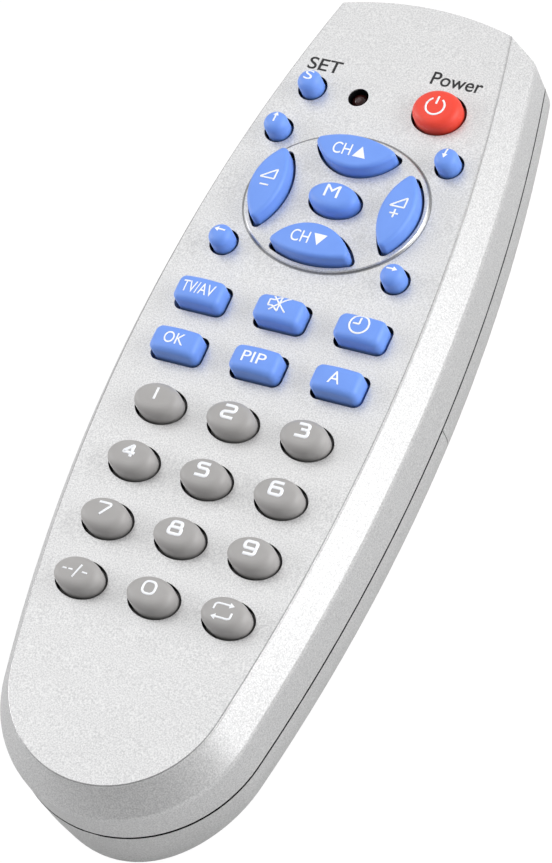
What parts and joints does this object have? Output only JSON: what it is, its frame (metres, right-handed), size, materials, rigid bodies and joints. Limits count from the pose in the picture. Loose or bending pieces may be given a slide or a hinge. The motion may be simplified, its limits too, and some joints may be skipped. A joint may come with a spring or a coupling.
{
  "type": "universal remote control",
  "caption": "Hand-held infrared remote control: rounded, tapered silver case, domed blue, red and grey rubber keys, raised oval island of arrow keys, and a battery cover that slides off.",
  "frame": {"origin": "middle of the back, on the surface that the remote lies on", "axes": "+X to the right seen from above the keys, +Y towards the infrared end, +Z out of the key face"},
  "size_m": [0.0496, 0.1358, 0.0257],
  "materials": {
    "silver_paint": "satin metallic silver paint on moulded ABS",
    "blue_silicone": "soft matte silicone, blue",
    "red_silicone": "soft matte silicone, red",
    "grey_silicone": "soft matte silicone, warm grey",
    "green_laminate": "solder-masked glass laminate",
    "dark_red_lens": "dark red clear resin",
    "clear_lens": "clear epoxy lens",
    "cell_sleeve": "printed plastic sleeve on a steel can",
    "zinc_steel": "zinc-plated steel",
    "nickel_steel": "nickel-plated spring steel",
    "black_resin": "moulded black resin",
    "amber_resin": "dipped amber resin",
    "capacitor_sleeve": "shrunk plastic sleeve",
    "tan_lacquer": "tan lacquer",
    "white_ink": "white printed legends on the keys",
    "black_ink": "black printed legends on the case"
  },
  "bodies": {
    "case": {"upper_case": "silver_paint", "lower_case": "silver_paint", "keypad_mat": "grey_silicone", "circuit_board": "green_laminate", "indicator_lamp": "dark_red_lens", "infrared_lamp": "clear_lens", "battery_left": "cell_sleeve", "battery_right": "cell_sleeve", "case_screws": "zinc_steel", "negative_contact": "nickel_steel", "positive_contact": "nickel_steel", "link_contact": "nickel_steel", "control_chip": "black_resin", "resonator": "amber_resin", "filter_capacitor": "capacitor_sleeve", "drive_transistor": "black_resin", "resistors": "tan_lacquer"},
    "battery_cover": {"battery_cover": "silver_paint"},
    "key_one": {"key_one": "grey_silicone"},
    "key_two": {"key_two": "grey_silicone"},
    "key_three": {"key_three": "grey_silicone"},
    "key_four": {"key_four": "grey_silicone"},
    "key_five": {"key_five": "grey_silicone"},
    "key_six": {"key_six": "grey_silicone"},
    "key_seven": {"key_seven": "grey_silicone"},
    "key_eight": {"key_eight": "grey_silicone"},
    "key_nine": {"key_nine": "grey_silicone"},
    "key_dash": {"key_dash": "grey_silicone"},
    "key_zero": {"key_zero": "grey_silicone"},
    "key_swap": {"key_swap": "grey_silicone"},
    "key_input": {"key_input": "blue_silicone"},
    "key_mute": {"key_mute": "blue_silicone"},
    "key_timer": {"key_timer": "blue_silicone"},
    "key_ok": {"key_ok": "blue_silicone"},
    "key_pip": {"key_pip": "blue_silicone"},
    "key_a": {"key_a": "blue_silicone"},
    "key_up": {"key_up": "blue_silicone"},
    "key_down": {"key_down": "blue_silicone"},
    "key_left": {"key_left": "blue_silicone"},
    "key_right": {"key_right": "blue_silicone"},
    "key_setup": {"key_setup": "blue_silicone"},
    "key_power": {"key_power": "red_silicone"},
    "key_menu": {"key_menu": "blue_silicone"},
    "key_channel_up": {"key_channel_up": "blue_silicone"},
    "key_channel_down": {"key_channel_down": "blue_silicone"},
    "key_volume_down": {"key_volume_down": "blue_silicone"},
    "key_volume_up": {"key_volume_up": "blue_silicone"}
  },
  "joints": [
    {"name": "battery_cover_slide", "type": "slide", "parent": "case", "child": "battery_cover", "axis": [0, -1, 0], "range_m": [0, 0.08]},
    {"name": "press_one", "type": "slide", "parent": "case", "child": "key_one", "axis": [0, 0, -1], "range_m": [0, 0.001], "stiffness_N_per_m": 500, "springref_m": -0.0005},
    {"name": "press_two", "type": "slide", "parent": "case", "child": "key_two", "axis": [0, 0, -1], "range_m": [0, 0.001], "stiffness_N_per_m": 500, "springref_m": -0.0005},
    {"name": "press_three", "type": "slide", "parent": "case", "child": "key_three", "axis": [0, 0, -1], "range_m": [0, 0.001], "stiffness_N_per_m": 500, "springref_m": -0.0005},
    {"name": "press_four", "type": "slide", "parent": "case", "child": "key_four", "axis": [0, 0, -1], "range_m": [0, 0.001], "stiffness_N_per_m": 500, "springref_m": -0.0005},
    {"name": "press_five", "type": "slide", "parent": "case", "child": "key_five", "axis": [0, 0, -1], "range_m": [0, 0.001], "stiffness_N_per_m": 500, "springref_m": -0.0005},
    {"name": "press_six", "type": "slide", "parent": "case", "child": "key_six", "axis": [0, 0, -1], "range_m": [0, 0.001], "stiffness_N_per_m": 500, "springref_m": -0.0005},
    {"name": "press_seven", "type": "slide", "parent": "case", "child": "key_seven", "axis": [0, 0, -1], "range_m": [0, 0.001], "stiffness_N_per_m": 500, "springref_m": -0.0005},
    {"name": "press_eight", "type": "slide", "parent": "case", "child": "key_eight", "axis": [0, 0, -1], "range_m": [0, 0.001], "stiffness_N_per_m": 500, "springref_m": -0.0005},
    {"name": "press_nine", "type": "slide", "parent": "case", "child": "key_nine", "axis": [0, 0, -1], "range_m": [0, 0.001], "stiffness_N_per_m": 500, "springref_m": -0.0005},
    {"name": "press_dash", "type": "slide", "parent": "case", "child": "key_dash", "axis": [0, 0, -1], "range_m": [0, 0.001], "stiffness_N_per_m": 500, "springref_m": -0.0005},
    {"name": "press_zero", "type": "slide", "parent": "case", "child": "key_zero", "axis": [0, 0, -1], "range_m": [0, 0.001], "stiffness_N_per_m": 500, "springref_m": -0.0005},
    {"name": "press_swap", "type": "slide", "parent": "case", "child": "key_swap", "axis": [0, 0, -1], "range_m": [0, 0.001], "stiffness_N_per_m": 500, "springref_m": -0.0005},
    {"name": "press_input", "type": "slide", "parent": "case", "child": "key_input", "axis": [0, 0, -1], "range_m": [0, 0.001], "stiffness_N_per_m": 500, "springref_m": -0.0005},
    {"name": "press_mute", "type": "slide", "parent": "case", "child": "key_mute", "axis": [0, 0, -1], "range_m": [0, 0.001], "stiffness_N_per_m": 500, "springref_m": -0.0005},
    {"name": "press_timer", "type": "slide", "parent": "case", "child": "key_timer", "axis": [0, 0, -1], "range_m": [0, 0.001], "stiffness_N_per_m": 500, "springref_m": -0.0005},
    {"name": "press_ok", "type": "slide", "parent": "case", "child": "key_ok", "axis": [0, 0, -1], "range_m": [0, 0.001], "stiffness_N_per_m": 500, "springref_m": -0.0005},
    {"name": "press_pip", "type": "slide", "parent": "case", "child": "key_pip", "axis": [0, 0, -1], "range_m": [0, 0.001], "stiffness_N_per_m": 500, "springref_m": -0.0005},
    {"name": "press_a", "type": "slide", "parent": "case", "child": "key_a", "axis": [0, 0, -1], "range_m": [0, 0.001], "stiffness_N_per_m": 500, "springref_m": -0.0005},
    {"name": "press_up", "type": "slide", "parent": "case", "child": "key_up", "axis": [0, 0, -1], "range_m": [0, 0.001], "stiffness_N_per_m": 500, "springref_m": -0.0005},
    {"name": "press_down", "type": "slide", "parent": "case", "child": "key_down", "axis": [0, 0, -1], "range_m": [0, 0.001], "stiffness_N_per_m": 500, "springref_m": -0.0005},
    {"name": "press_left", "type": "slide", "parent": "case", "child": "key_left", "axis": [0, 0, -1], "range_m": [0, 0.001], "stiffness_N_per_m": 500, "springref_m": -0.0005},
    {"name": "press_right", "type": "slide", "parent": "case", "child": "key_right", "axis": [0, 0, -1], "range_m": [0, 0.001], "stiffness_N_per_m": 500, "springref_m": -0.0005},
    {"name": "press_setup", "type": "slide", "parent": "case", "child": "key_setup", "axis": [0, 0, -1], "range_m": [0, 0.001], "stiffness_N_per_m": 500, "springref_m": -0.0005},
    {"name": "press_power", "type": "slide", "parent": "case", "child": "key_power", "axis": [0, 0, -1], "range_m": [0, 0.001], "stiffness_N_per_m": 500, "springref_m": -0.0005},
    {"name": "press_menu", "type": "slide", "parent": "case", "child": "key_menu", "axis": [0, 0, -1], "range_m": [0, 0.001], "stiffness_N_per_m": 500, "springref_m": -0.0005},
    {"name": "press_channel_up", "type": "slide", "parent": "case", "child": "key_channel_up", "axis": [0, 0, -1], "range_m": [0, 0.001], "stiffness_N_per_m": 500, "springref_m": -0.0005},
    {"name": "press_channel_down", "type": "slide", "parent": "case", "child": "key_channel_down", "axis": [0, 0, -1], "range_m": [0, 0.001], "stiffness_N_per_m": 500, "springref_m": -0.0005},
    {"name": "press_volume_down", "type": "slide", "parent": "case", "child": "key_volume_down", "axis": [0, 0, -1], "range_m": [0, 0.001], "stiffness_N_per_m": 500, "springref_m": -0.0005},
    {"name": "press_volume_up", "type": "slide", "parent": "case", "child": "key_volume_up", "axis": [0, 0, -1], "range_m": [0, 0.001], "stiffness_N_per_m": 500, "springref_m": -0.0005}
  ]
}
